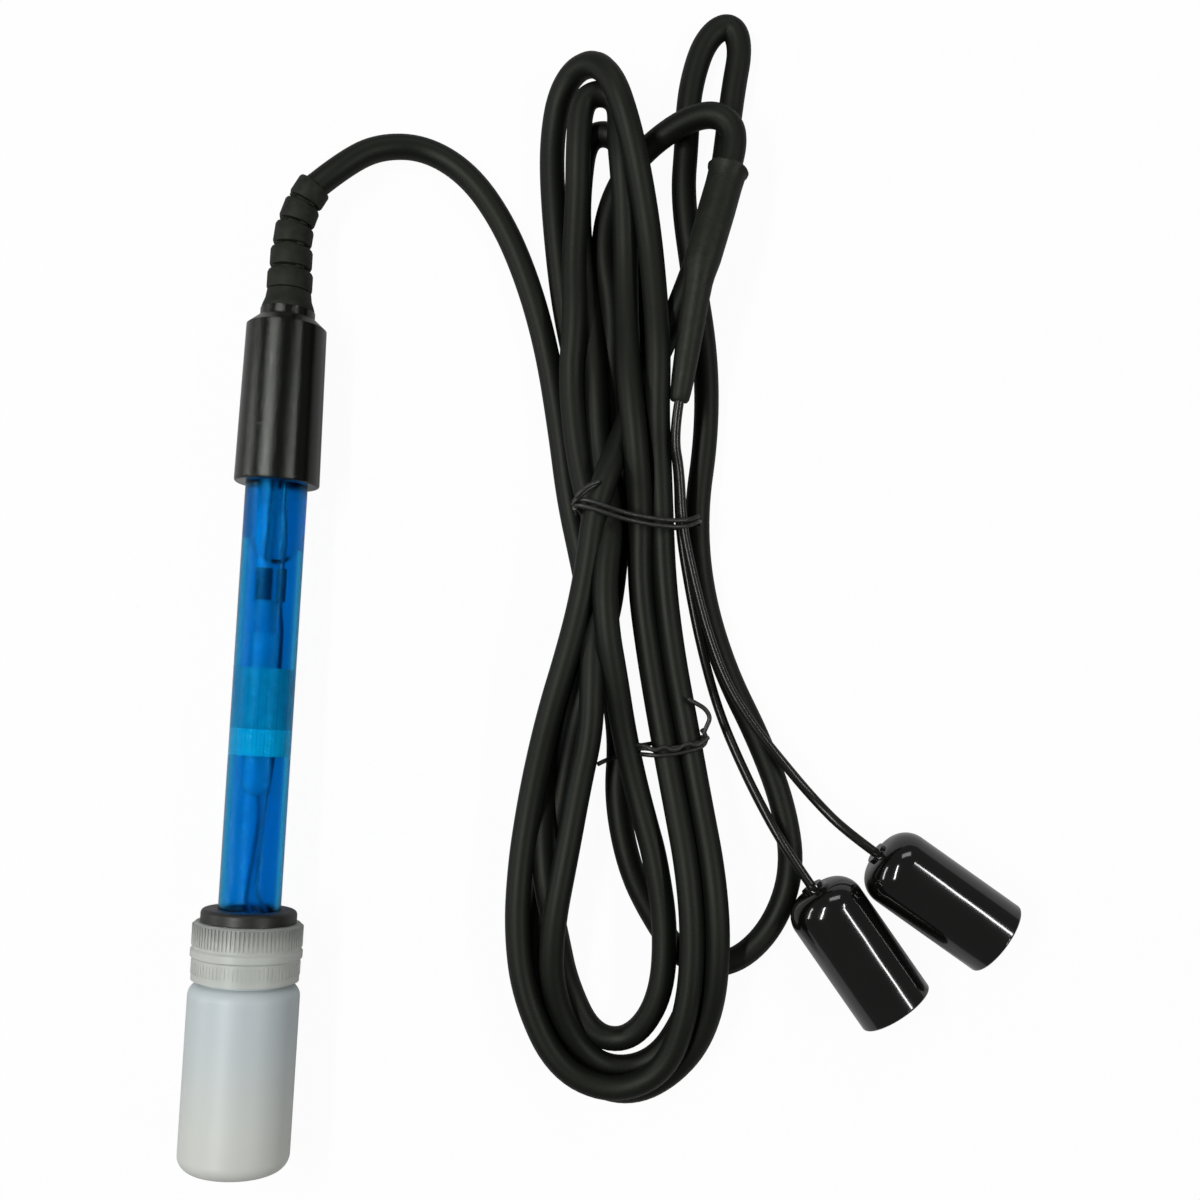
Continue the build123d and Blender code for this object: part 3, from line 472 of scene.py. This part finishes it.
# Cable: a black PVC jacket 5 mm thick, over two metres long. It leaves the relief, swings right and
# lies in a hank of ten passes. Its skin is satin, with a fine extrusion grain.
cable_diameter = 0.005
jacket_blacks = (0.0028, 0.0034, 0.0022, 1), (0.0068, 0.0079, 0.0056, 1)
cable_route = [
    # from the strain relief down to the outer turn and up again to the top loop
    (0.0043, 0.0960, 0.0073), (0.0095, 0.1007, 0.0072), (0.0156, 0.1054, 0.0046),
    (0.0243, 0.1065, 0.0026), (0.0334, 0.1017, 0.0026), (0.0409, 0.0924, 0.0026),
    (0.0468, 0.0804, 0.0026), (0.0514, 0.0668, 0.0026), (0.0549, 0.0508, 0.0026),
    (0.0574, 0.0373, 0.0026), (0.0606, 0.0258, 0.0026), (0.0636, 0.0143, 0.0026),
    (0.0680, 0.0018, 0.0026), (0.0706, -0.0102, 0.0026), (0.0704, -0.0222, 0.0026),
    (0.0738, -0.0358, 0.0026), (0.0790, -0.0452, 0.0026), (0.0860, -0.0542, 0.0026),
    (0.0956, -0.0546, 0.0026), (0.1034, -0.0468, 0.0026), (0.1070, -0.0346, 0.0026),
    (0.1043, -0.0216, 0.0026), (0.0985, -0.0086, 0.0026), (0.0908, 0.0048, 0.0026),
    (0.0852, 0.0202, 0.0026), (0.0830, 0.0358, 0.0032), (0.0844, 0.0518, 0.0026),
    (0.0834, 0.0678, 0.0026), (0.0796, 0.0848, 0.0026), (0.0767, 0.0998, 0.0026),
    (0.0769, 0.1098, 0.0026), (0.0768, 0.1183, 0.0026), (0.0776, 0.1246, 0.0026),
    (0.0792, 0.1304, 0.0026), (0.0821, 0.1341, 0.0027), (0.0853, 0.1339, 0.0029),
    (0.0866, 0.1294, 0.0030), (0.0858, 0.1228, 0.0030), (0.0852, 0.1153, 0.0028),
    (0.0844, 0.1038, 0.0044), (0.0824, 0.0938, 0.0070), (0.0794, 0.0828, 0.0080),
    (0.0754, 0.0708, 0.0077),
    # down, over the bundle
    (0.0704, 0.0588, 0.0076), (0.0670, 0.0483, 0.0088), (0.0648, 0.0413, 0.0132),
    (0.0628, 0.0333, 0.0129), (0.0623, 0.0253, 0.0123), (0.0612, 0.0158, 0.0123),
    (0.0592, 0.0058, 0.0123), (0.0566, -0.0047, 0.0110), (0.0546, -0.0152, 0.0089),
    (0.0532, -0.0252, 0.0078), (0.0522, -0.0362, 0.0077), (0.0522, -0.0492, 0.0077),
    (0.0546, -0.0622, 0.0077), (0.0618, -0.0758, 0.0077), (0.0730, -0.0802, 0.0077),
    (0.0830, -0.0752, 0.0090), (0.0866, -0.0627, 0.0114),
    # up
    (0.0870, -0.0492, 0.0122), (0.0852, -0.0352, 0.0120), (0.0818, -0.0212, 0.0104),
    (0.0784, -0.0072, 0.0080), (0.0752, 0.0068, 0.0078), (0.0725, 0.0208, 0.0079),
    (0.0719, 0.0348, 0.0092), (0.0702, 0.0468, 0.0133), (0.0680, 0.0598, 0.0129),
    (0.0666, 0.0748, 0.0086), (0.0659, 0.0868, 0.0077), (0.0652, 0.0943, 0.0096),
    (0.0644, 0.1008, 0.0112), (0.0634, 0.1073, 0.0108), (0.0632, 0.1138, 0.0099),
    (0.0610, 0.1162, 0.0096), (0.0577, 0.1162, 0.0096), (0.0555, 0.1138, 0.0096),
    # down
    (0.0554, 0.1058, 0.0094), (0.0558, 0.0968, 0.0080), (0.0558, 0.0828, 0.0076),
    (0.0568, 0.0718, 0.0084), (0.0564, 0.0608, 0.0072), (0.0583, 0.0478, 0.0071),
    (0.0610, 0.0373, 0.0084), (0.0650, 0.0278, 0.0089), (0.0660, 0.0193, 0.0085),
    (0.0639, 0.0098, 0.0116), (0.0644, -0.0002, 0.0128), (0.0646, -0.0092, 0.0120),
    (0.0630, -0.0192, 0.0108), (0.0613, -0.0332, 0.0106), (0.0594, -0.0472, 0.0102),
    (0.0596, -0.0592, 0.0080), (0.0644, -0.0708, 0.0046), (0.0718, -0.0770, 0.0028),
    (0.0815, -0.0748, 0.0026),
    # up
    (0.0874, -0.0637, 0.0052), (0.0894, -0.0502, 0.0084), (0.0882, -0.0372, 0.0066),
    (0.0852, -0.0212, 0.0042), (0.0816, -0.0072, 0.0026), (0.0782, 0.0068, 0.0026),
    (0.0750, 0.0208, 0.0028), (0.0720, 0.0348, 0.0034), (0.0709, 0.0478, 0.0028),
    (0.0697, 0.0608, 0.0026), (0.0690, 0.0748, 0.0026), (0.0674, 0.0858, 0.0028),
    (0.0661, 0.0933, 0.0050), (0.0649, 0.1003, 0.0069), (0.0639, 0.1077, 0.0062),
    (0.0618, 0.1101, 0.0054), (0.0586, 0.1101, 0.0052), (0.0565, 0.1077, 0.0048),
    # down
    (0.0560, 0.1013, 0.0042), (0.0560, 0.0948, 0.0030), (0.0568, 0.0878, 0.0026),
    (0.0588, 0.0778, 0.0026), (0.0604, 0.0678, 0.0052), (0.0618, 0.0588, 0.0069),
    (0.0628, 0.0478, 0.0069), (0.0650, 0.0383, 0.0086), (0.0662, 0.0298, 0.0122),
    (0.0655, 0.0213, 0.0138), (0.0665, 0.0113, 0.0144), (0.0688, 0.0018, 0.0126),
    (0.0710, -0.0082, 0.0094), (0.0738, -0.0182, 0.0077), (0.0764, -0.0262, 0.0077),
    (0.0788, -0.0332, 0.0077), (0.0818, -0.0472, 0.0077), (0.0816, -0.0612, 0.0072),
    (0.0762, -0.0706, 0.0036), (0.0682, -0.0702, 0.0026),
    # up
    (0.0626, -0.0598, 0.0026), (0.0602, -0.0502, 0.0050), (0.0578, -0.0412, 0.0076),
    (0.0562, -0.0312, 0.0063), (0.0560, -0.0202, 0.0029), (0.0574, -0.0072, 0.0030),
    (0.0594, 0.0048, 0.0068), (0.0612, 0.0148, 0.0075), (0.0618, 0.0228, 0.0072),
    (0.0636, 0.0308, 0.0034), (0.0628, 0.0388, 0.0028), (0.0606, 0.0488, 0.0026),
    (0.0584, 0.0608, 0.0026), (0.0544, 0.0748, 0.0026), (0.0519, 0.0888, 0.0026),
    (0.0502, 0.1018, 0.0026), (0.0499, 0.1103, 0.0030), (0.0509, 0.1174, 0.0050),
    (0.0538, 0.1215, 0.0078),
    # down
    (0.0580, 0.1216, 0.0114), (0.0617, 0.1171, 0.0144), (0.0647, 0.1096, 0.0147),
    (0.0674, 0.1010, 0.0134), (0.0702, 0.0900, 0.0103), (0.0722, 0.0768, 0.0114),
    (0.0735, 0.0648, 0.0130), (0.0739, 0.0538, 0.0116), (0.0750, 0.0448, 0.0088),
    (0.0760, 0.0348, 0.0077), (0.0774, 0.0208, 0.0077), (0.0800, 0.0068, 0.0078),
    (0.0835, -0.0072, 0.0078), (0.0868, -0.0212, 0.0092), (0.0902, -0.0352, 0.0116),
    (0.0920, -0.0492, 0.0118), (0.0916, -0.0632, 0.0090), (0.0874, -0.0744, 0.0042),
    (0.0780, -0.0816, 0.0026), (0.0680, -0.0798, 0.0026), (0.0604, -0.0722, 0.0026),
    # up, under the bundle
    (0.0564, -0.0592, 0.0026), (0.0556, -0.0482, 0.0026), (0.0570, -0.0382, 0.0026),
    (0.0590, -0.0272, 0.0026), (0.0602, -0.0162, 0.0034), (0.0618, -0.0052, 0.0064),
    (0.0642, 0.0048, 0.0075), (0.0668, 0.0143, 0.0056), (0.0676, 0.0248, 0.0027),
    (0.0678, 0.0358, 0.0030), (0.0658, 0.0488, 0.0028), (0.0646, 0.0618, 0.0026),
    (0.0640, 0.0758, 0.0026),
    # across to the splice
    (0.0612, 0.0873, 0.0026), (0.0620, 0.0963, 0.0026), (0.0654, 0.1044, 0.0028),
    (0.0704, 0.1094, 0.0050), (0.0764, 0.1125, 0.0088), (0.0818, 0.1130, 0.0114),
    (0.0853, 0.1104, 0.0122), (0.0859, 0.1061, 0.0125), (0.0850, 0.1022, 0.0128),
]


def round_cord(name, strands, diameter, roundness=6):
    """A curve that follows each strand's points smoothly, as thick as the cord."""
    curve = bpy.data.curves.new(name, "CURVE")
    curve.dimensions = "3D"
    curve.bevel_depth = 1.0
    curve.bevel_resolution = roundness
    curve.resolution_u = 8
    curve.use_fill_caps = True
    for strand in strands:
        line = curve.splines.new("NURBS")
        line.points.add(len(strand) - 1)
        for point, place in zip(line.points, strand):
            point.co = (*place, 1)
            point.radius = diameter / 2
        line.order_u = 3
        line.use_endpoint_u = True
    cord = bpy.data.objects.new(name, curve)
    bpy.context.scene.collection.objects.link(cord)
    return cord


cable = round_cord("cable", [cable_route], cable_diameter)
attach(cable, "electrode")
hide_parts("cable_lead", "cable_hank", "cable_loop", "cable_tail")
jacket = Finish("cable_jacket", IOR=1.33, Specular_Tint=rubber_sheen)
grain = jacket.noise(1600, detail=4)
rubbed = jacket.noise(60, detail=4)
jacket.set(Base_Color=jacket.mix(rubbed, *jacket_blacks), Roughness=rubbed * 0.18 + 0.42)
jacket.bump(grain, 0.00003)
jacket.give(cable, "cable_inner")


# Splice: a shrink sleeve with a lip, drawn down over the end of the cable, and a narrower sleeve
# that grows out of it and tapers on to the two leads.
splice_marks = [Vector((0.0850, 0.1022, 0.0128)), Vector((0.0806, 0.0822, 0.0144)),
                Vector((0.0780, 0.0560, 0.0124))]
splice_corner = 0.008
# how far along the sleeves, and their radius there: down the outside from the lip, and back inside
splice_profile = [(0.0, 0.0030), (0.0002, 0.0038), (0.0006, 0.0041), (0.0011, 0.0040), (0.0016, 0.0037),
                  (0.0040, 0.00362), (0.0090, 0.00366), (0.0150, 0.00358), (0.0190, 0.00352),
                  (0.0208, 0.00336), (0.0222, 0.00306), (0.0238, 0.00284), (0.0262, 0.00272),
                  (0.0310, 0.00262), (0.0370, 0.00246), (0.0420, 0.00226), (0.0450, 0.00206),
                  (0.0463, 0.00190), (0.0468, 0.00160), (0.0469, 0.0010), (0.0466, 0.0006),
                  (0.0200, 0.0006), (0.0004, 0.0006)]
sleeving_blacks = (0.005, 0.0058, 0.004, 1), (0.011, 0.0125, 0.009, 1)


def splice_station(distance):
    """Along the sleeves' two straight stretches, with the corner between them eased."""
    upper, lower = splice_marks[1] - splice_marks[0], splice_marks[2] - splice_marks[1]
    share = min(1.0, max(0.0, (distance - upper.length) / splice_corner + 0.5))
    heading = upper.normalized().lerp(lower.normalized(), share * share * (3 - 2 * share)).normalized()
    if distance < upper.length:
        return splice_marks[0] + upper.normalized() * distance, heading
    return splice_marks[1] + lower.normalized() * (distance - upper.length), heading


splice_stations = [splice_station(distance) + (radius,) for distance, radius in splice_profile]
splice = lofted("shrunk_splice", splice_stations)
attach(splice, "electrode")
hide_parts("splice_sleeve", "splice_taper")
sleeving = Finish("splice_sleeving", IOR=1.35, Specular_Tint=rubber_sheen)
drawn_skin = sleeving.noise(420, detail=5)
sleeving.set(Base_Color=sleeving.mix(drawn_skin, *sleeving_blacks), Roughness=drawn_skin * 0.2 + 0.42)
sleeving.bump(drawn_skin, 0.0002)
sleeving.give(splice)


# Wire ties: plastic-covered wire, wrapped once round the hank as a double strand and twisted closed.
# The upper one's tail curls back over the knot, and the lower one dips under one pass of the cable.
tie_wire = 0.0009
tie_roundness = 3
tie_blacks = (0.010, 0.010, 0.009, 1), (0.022, 0.022, 0.019, 1)
tie_routes = {
    "upper_tie": [
        [(0.0604, 0.0336, 0.0125), (0.0588, 0.0344, 0.0148), (0.0598, 0.0346, 0.0160),
         (0.0640, 0.0336, 0.0161), (0.0680, 0.0325, 0.0158), (0.0730, 0.0319, 0.0140),
         (0.0780, 0.0317, 0.0130), (0.0815, 0.0323, 0.0115), (0.0836, 0.0338, 0.0098),
         (0.0838, 0.0336, 0.0050), (0.0822, 0.0332, 0.0006), (0.0740, 0.0330, 0.0005),
         (0.0660, 0.0335, 0.0005), (0.0604, 0.0340, 0.0005), (0.0590, 0.0342, 0.0030),
         (0.0596, 0.0342, 0.0080), (0.0590, 0.0340, 0.0150)],
        [(0.0606, 0.0348, 0.0125), (0.0590, 0.0352, 0.0150), (0.0606, 0.0357, 0.0161),
         (0.0642, 0.0348, 0.0163), (0.0684, 0.0336, 0.0158), (0.0732, 0.0331, 0.0140),
         (0.0782, 0.0329, 0.0130), (0.0820, 0.0335, 0.0117), (0.0832, 0.0346, 0.0100)],
        [(0.0588, 0.0346, 0.0150), (0.0594, 0.0360, 0.0168), (0.0603, 0.0372, 0.0170),
         (0.0616, 0.0384, 0.0166), (0.0634, 0.0392, 0.0160)],
        [(0.0588, 0.0350, 0.0160), (0.0600, 0.0362, 0.0166), (0.0612, 0.0374, 0.0164),
         (0.0630, 0.0388, 0.0158)],
    ],
    "lower_tie": [
        [(0.0664, -0.0153, 0.0078), (0.0676, -0.0146, 0.0070), (0.0696, -0.0138, 0.0052),
         (0.0722, -0.0127, 0.0050), (0.0740, -0.0118, 0.0090), (0.0750, -0.0115, 0.0112),
         (0.0775, -0.0116, 0.0116), (0.0805, -0.0112, 0.0114), (0.0840, -0.0104, 0.0112),
         (0.0866, -0.0095, 0.0108), (0.0880, -0.0088, 0.0070), (0.0876, -0.0088, 0.0020),
         (0.0850, -0.0092, 0.0005), (0.0780, -0.0105, 0.0005), (0.0700, -0.0125, 0.0005)],
        [(0.0742, -0.0128, 0.0084), (0.0750, -0.0127, 0.0108), (0.0776, -0.0128, 0.0116),
         (0.0806, -0.0124, 0.0114), (0.0842, -0.0115, 0.0112), (0.0870, -0.0104, 0.0106),
         (0.0874, -0.0084, 0.0108), (0.0862, -0.0072, 0.0114)],
        [(0.0738, -0.0110, 0.0100), (0.0752, -0.0108, 0.0120), (0.0772, -0.0120, 0.0124),
         (0.0790, -0.0108, 0.0122), (0.0812, -0.0118, 0.0122), (0.0836, -0.0098, 0.0120),
         (0.0858, -0.0106, 0.0118), (0.0876, -0.0086, 0.0112)],
        [(0.0866, -0.0080, 0.0112), (0.0872, -0.0064, 0.0112), (0.0878, -0.0048, 0.0112),
         (0.0868, -0.0032, 0.0114), (0.0850, -0.0022, 0.0114), (0.0832, -0.0014, 0.0112)],
    ],
}

tie_plastic = Finish("tie_plastic", IOR=1.5)
kinks = tie_plastic.noise(900, detail=4)
tie_plastic.set(Base_Color=tie_plastic.mix(kinks, *tie_blacks), Roughness=kinks * 0.2 + 0.3)
tie_plastic.bump(kinks, 0.0001)
ties = []
for node, strands in tie_routes.items():
    ties.append(round_cord(node.replace("tie", "twist"), strands, tie_wire, tie_roundness))
    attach(ties[-1], "electrode")
    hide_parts(node)
    tie_plastic.give(ties[-1])


# Leads: two thin black coaxial leads, smoother and glossier than the cable. They leave the splice
# side by side, lie across the hank and end in the boots.
lead_diameter = 0.0019
lead_routes = {
    "a": [(0.0780, 0.0560, 0.01145), (0.07734, 0.04906, 0.01096), (0.0789, 0.0433, 0.0086),
          (0.0798, 0.0328, 0.0064), (0.0824, 0.0213, 0.0050), (0.0856, 0.0093, 0.0042),
          (0.0902, -0.0038, 0.0016), (0.0960, -0.0156, 0.0034), (0.1009, -0.0244, 0.0069),
          (0.10557, -0.03130, 0.00775), (0.11175, -0.03916, 0.00775)],
    "b": [(0.0780, 0.0560, 0.01335), (0.07734, 0.04906, 0.01286), (0.0790, 0.0433, 0.0110),
          (0.0802, 0.0328, 0.0090), (0.0832, 0.0223, 0.0080), (0.0866, 0.0122, 0.0068),
          (0.0909, 0.0022, 0.0068), (0.0966, -0.0058, 0.0068), (0.1030, -0.0128, 0.0066),
          (0.1098, -0.0198, 0.0048), (0.11616, -0.02579, 0.00775), (0.12464, -0.03109, 0.00775)],
}
lead_blacks = (0.005, 0.005, 0.004, 1), (0.010, 0.010, 0.008, 1)

lead_skin = Finish("lead_skin", IOR=1.46)
polish = lead_skin.noise(90, detail=3)
lead_skin.set(Base_Color=lead_skin.mix(polish, *lead_blacks), Roughness=polish * 0.1 + 0.22)
leads = {}
for side, route in lead_routes.items():
    leads[side] = round_cord(f"thin_lead_{side}", [route], lead_diameter)
    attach(leads[side], "electrode")
    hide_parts(f"lead_{side}")
    lead_skin.give(leads[side])


# Connectors: a plated metal shell, a white insulator and a gilt pin on the end of each lead. A boot
# is pushed over each of them.
plated_greys = (0.50, 0.50, 0.50, 1), (0.66, 0.66, 0.67, 1)
insulator_whites = (0.78, 0.78, 0.74, 1), (0.86, 0.86, 0.83, 1)
gilt_golds = (0.70, 0.50, 0.20, 1), (0.85, 0.66, 0.32, 1)

plated = Finish("plated_shell", Metallic=1.0)
plating = plated.noise(500, detail=5)
plated.set(Base_Color=plated.mix(plating, *plated_greys), Roughness=plating * 0.2 + 0.15)
plated.give("connector_shell_a", "connector_shell_b")
insulator = Finish("white_insulator", IOR=1.4, Roughness=0.45)
speckle = insulator.noise(1200, detail=4)
insulator.set(Base_Color=insulator.mix(speckle, *insulator_whites))
insulator.give("connector_insulator_a", "connector_insulator_b")
gilt = Finish("gilt_pin", Metallic=1.0)
wipe = gilt.noise(1500, detail=4)
gilt.set(Base_Color=gilt.mix(wipe, *gilt_golds), Roughness=wipe * 0.2 + 0.15)
gilt.give("connector_pin_a", "connector_pin_b")


# Boots: black caps dipped in vinyl and pushed over the connectors. They are shiny, with soft dents
# near the shoulder.
boot_blacks = (0.002, 0.002, 0.0018, 1), (0.005, 0.005, 0.0045, 1)

boot_vinyl = Finish("boot_vinyl", IOR=1.52, Coat_Roughness=0.04, Coat_Weight=0.6)
ooze = boot_vinyl.noise(70, detail=2)
boot_vinyl.set(Base_Color=boot_vinyl.mix(ooze, *boot_blacks), Roughness=ooze * 0.10 + 0.08)
boot_vinyl.bump(ooze, 0.0004, 0.4)
boot_vinyl.give("boot_a", "boot_b")


# Grommet: a black rubber ring that grips the shaft and closes the bottle's cap, with a clear washer
# under it.
ring_blacks = (0.006, 0.006, 0.005, 1), (0.013, 0.013, 0.011, 1)
washer_tints = (0.7, 0.7, 0.68, 1), (0.8, 0.8, 0.78, 1)

ring_rubber = Finish("ring_rubber", IOR=1.5)
matt = ring_rubber.noise(600, detail=4)
ring_rubber.set(Base_Color=ring_rubber.mix(matt, *ring_blacks), Roughness=matt * 0.2 + 0.35)
ring_rubber.bump(matt, 0.00004)
ring_rubber.give("shaft_grommet")
washer_rubber = Finish("washer_rubber", IOR=1.42, Transmission_Weight=0.3, Roughness=0.5)
washer_rubber.set(Base_Color=washer_rubber.mix(washer_rubber.noise(400), *washer_tints))
washer_rubber.give("seal_washer")


# Bottle cap: moulded in natural polypropylene, so it is milky, with two bands of fine ribs and a
# bead. Towards its rim it is darkened with painted shade, where the black grommet shows through.
cap_creams = (0.78, 0.81, 0.76, 1), (0.86, 0.88, 0.83, 1)
# the rim grey and the band it covers are painted shade, standing for the black grommet seen through the cap
painted_rim_shade = (0.54, 0.56, 0.53, 1)
rim_shade_from = -0.0545
rim_shade_to = -0.0500

natural_plastic = Finish("natural_plastic", IOR=1.45, Transmission_Weight=0.55)
flow = natural_plastic.noise(180, detail=4)
cap_along = natural_plastic.node("ShaderNodeSeparateXYZ", {}, {"Vector": natural_plastic.place()}, "Y")
moulded = natural_plastic.mix(flow, *cap_creams)
# towards the rim the moulded colour gives way to the painted shade
natural_plastic.set(Base_Color=natural_plastic.mix(cap_along.rise(rim_shade_from, rim_shade_to),
                                                   moulded, painted_rim_shade),
                    Roughness=flow * 0.15 + 0.35)
natural_plastic.bump(flow, 0.00008)
natural_plastic.give("bottle_cap")


# Storage bottle: blown in milky polyethylene, with a round shoulder and a slightly uneven wall.
# Towards the cap it is tinted blue with painted light, where the blue shaft stands inside it.
bottle_creams = (0.74, 0.765, 0.71, 1), (0.80, 0.82, 0.77, 1)
# the blue and the band it covers are painted light, standing for the blue shaft seen through the milky wall
painted_shaft_blue = (0.66, 0.73, 0.75, 1)
painted_blue_from = -0.094
painted_blue_to = -0.066

milky = Finish("milky_polyethylene", IOR=1.5, Transmission_Weight=0.25)
wall = milky.noise(45, detail=3)
bottle_along = milky.node("ShaderNodeSeparateXYZ", {}, {"Vector": milky.place()}, "Y")
cloudy = milky.mix(wall, *bottle_creams)
# towards the cap the cloudy colour gives way to the painted blue light
milky.set(Base_Color=milky.mix(bottle_along.rise(painted_blue_from, painted_blue_to), cloudy, painted_shaft_blue),
          Roughness=wall * 0.1 + 0.38)
milky.bump(wall, 0.0003, 0.5)
milky.give("storage_bottle")


bpy.context.view_layer.update()
low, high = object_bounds()
